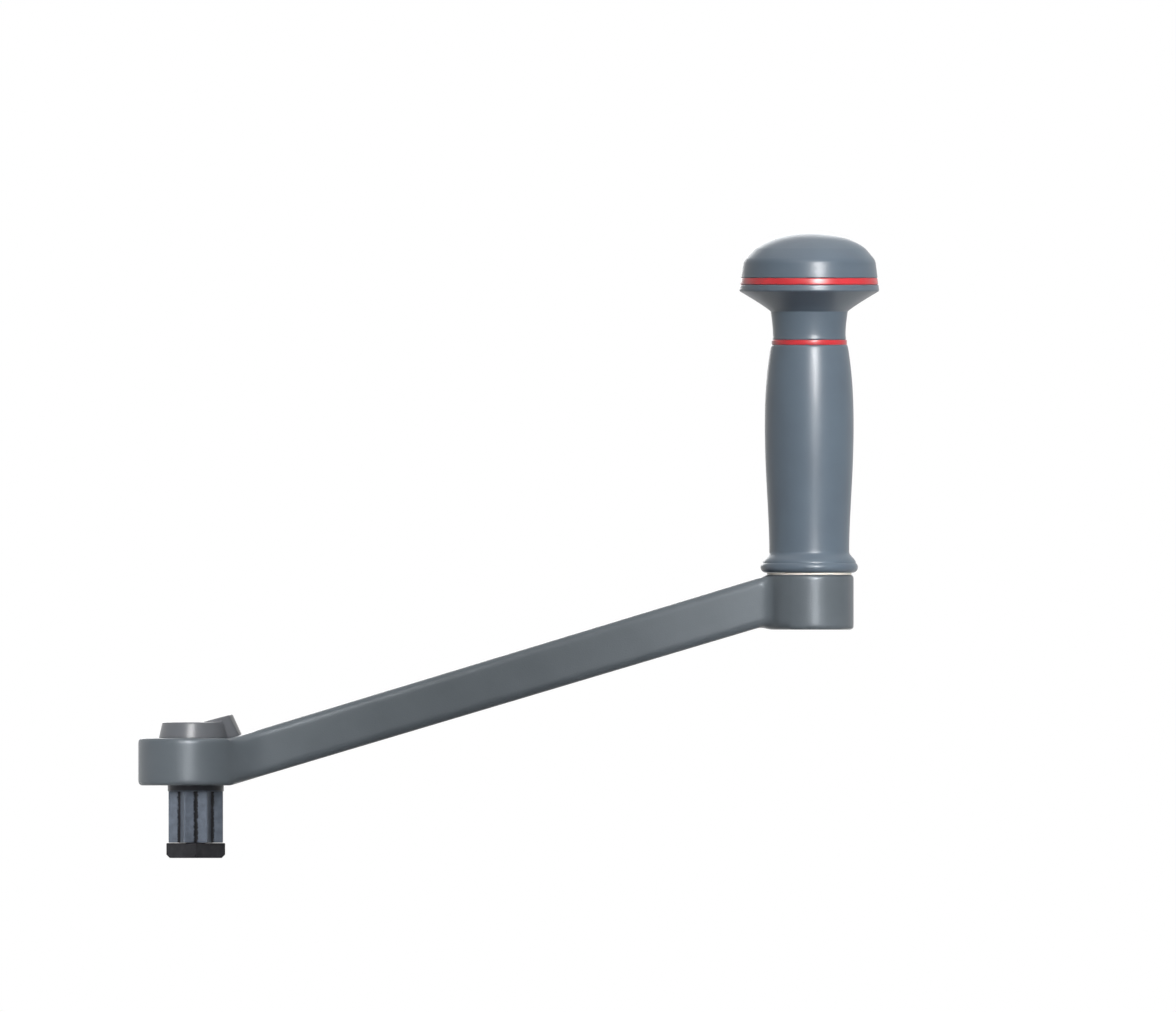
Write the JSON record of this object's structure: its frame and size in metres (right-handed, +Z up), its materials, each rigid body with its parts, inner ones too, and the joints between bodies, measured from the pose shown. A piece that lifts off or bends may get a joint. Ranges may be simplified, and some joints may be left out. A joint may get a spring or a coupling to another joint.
{
  "type": "crank handle",
  "caption": "Locking crank handle: sloping forged arm, star drive with a sprung lock plate, and a spinning hand grip with a palm knob.",
  "frame": {"origin": "centre of the hub's underside, the face that seats over the socket, on the drive axis", "axes": "+Z up the drive axis, away from the socket; +X along the arm towards the grip"},
  "size_m": [0.3068, 0.058, 0.2593],
  "materials": {
    "anodised_arm": "hard anodised, slate grey, satin",
    "anodised_star": "hard anodised, slate grey, satin",
    "lock_plate_steel": "blackened steel",
    "stainless_steel": "turned stainless steel",
    "bearing_steel": "ground and polished",
    "spring_steel": "drawn wire and stamped sheet",
    "cage_brass": "turned brass",
    "spacer_alloy": "drawn tube",
    "acetal": "natural acetal, machined",
    "nitrile_rubber": "moulded, matt",
    "lever_nylon": "moulded, satin",
    "grip_nylon": "moulded, satin slate grey",
    "red_ring": "moulded, glossy red"
  },
  "bodies": {
    "arm": {"arm": "anodised_arm", "star_drive": "anodised_star", "stud_circlip": "spring_steel", "lower_bush": "acetal", "upper_bush": "acetal", "lock_spring": "spring_steel", "grip_post": "stainless_steel", "post_washer": "stainless_steel", "post_screw": "stainless_steel", "thrust_washer": "acetal", "lower_inner_race": "bearing_steel", "race_spacer": "spacer_alloy", "upper_inner_race": "bearing_steel", "post_end_washer": "stainless_steel", "post_end_screw": "stainless_steel"},
    "lock": {"lock_spindle": "stainless_steel", "spindle_o_ring": "nitrile_rubber", "lock_plate": "lock_plate_steel", "plate_screw": "stainless_steel", "lock_lever": "lever_nylon", "lever_washer": "stainless_steel", "lever_screw": "stainless_steel"},
    "grip": {"grip_sleeve": "grip_nylon", "neck_ring": "red_ring", "knob_base": "grip_nylon", "knob_screws": "stainless_steel", "knob_ring": "red_ring", "knob_cap": "grip_nylon", "lower_outer_race": "bearing_steel", "upper_outer_race": "bearing_steel"},
    "lower_cage": {"lower_ball_cage": "cage_brass", "lower_balls": "bearing_steel"},
    "upper_cage": {"upper_ball_cage": "cage_brass", "upper_balls": "bearing_steel"}
  },
  "joints": [
    {"name": "lock_turn", "type": "hinge", "parent": "arm", "child": "lock", "pos_m": [0, 0, 0], "axis": [0, 0, 1], "range_deg": [0, 22.5], "stiffness_Nm_per_rad": 0.1, "springref_deg": -28.65, "deforming": ["lock_spring"]},
    {"name": "grip_spin", "type": "hinge", "parent": "arm", "child": "grip", "pos_m": [0.254, 0, 0.0881], "axis": [0, 0, 1], "continuous": true},
    {"name": "lower_cage_spin", "type": "hinge", "parent": "arm", "child": "lower_cage", "pos_m": [0.254, 0, 0.093], "axis": [0, 0, 1], "continuous": true},
    {"name": "upper_cage_spin", "type": "hinge", "parent": "arm", "child": "upper_cage", "pos_m": [0.254, 0, 0.171], "axis": [0, 0, 1], "continuous": true}
  ],
  "couplings": [
    {"joint": "lower_cage_spin", "follows": "grip_spin", "ratio": 0.5944},
    {"joint": "upper_cage_spin", "follows": "grip_spin", "ratio": 0.6063}
  ]
}
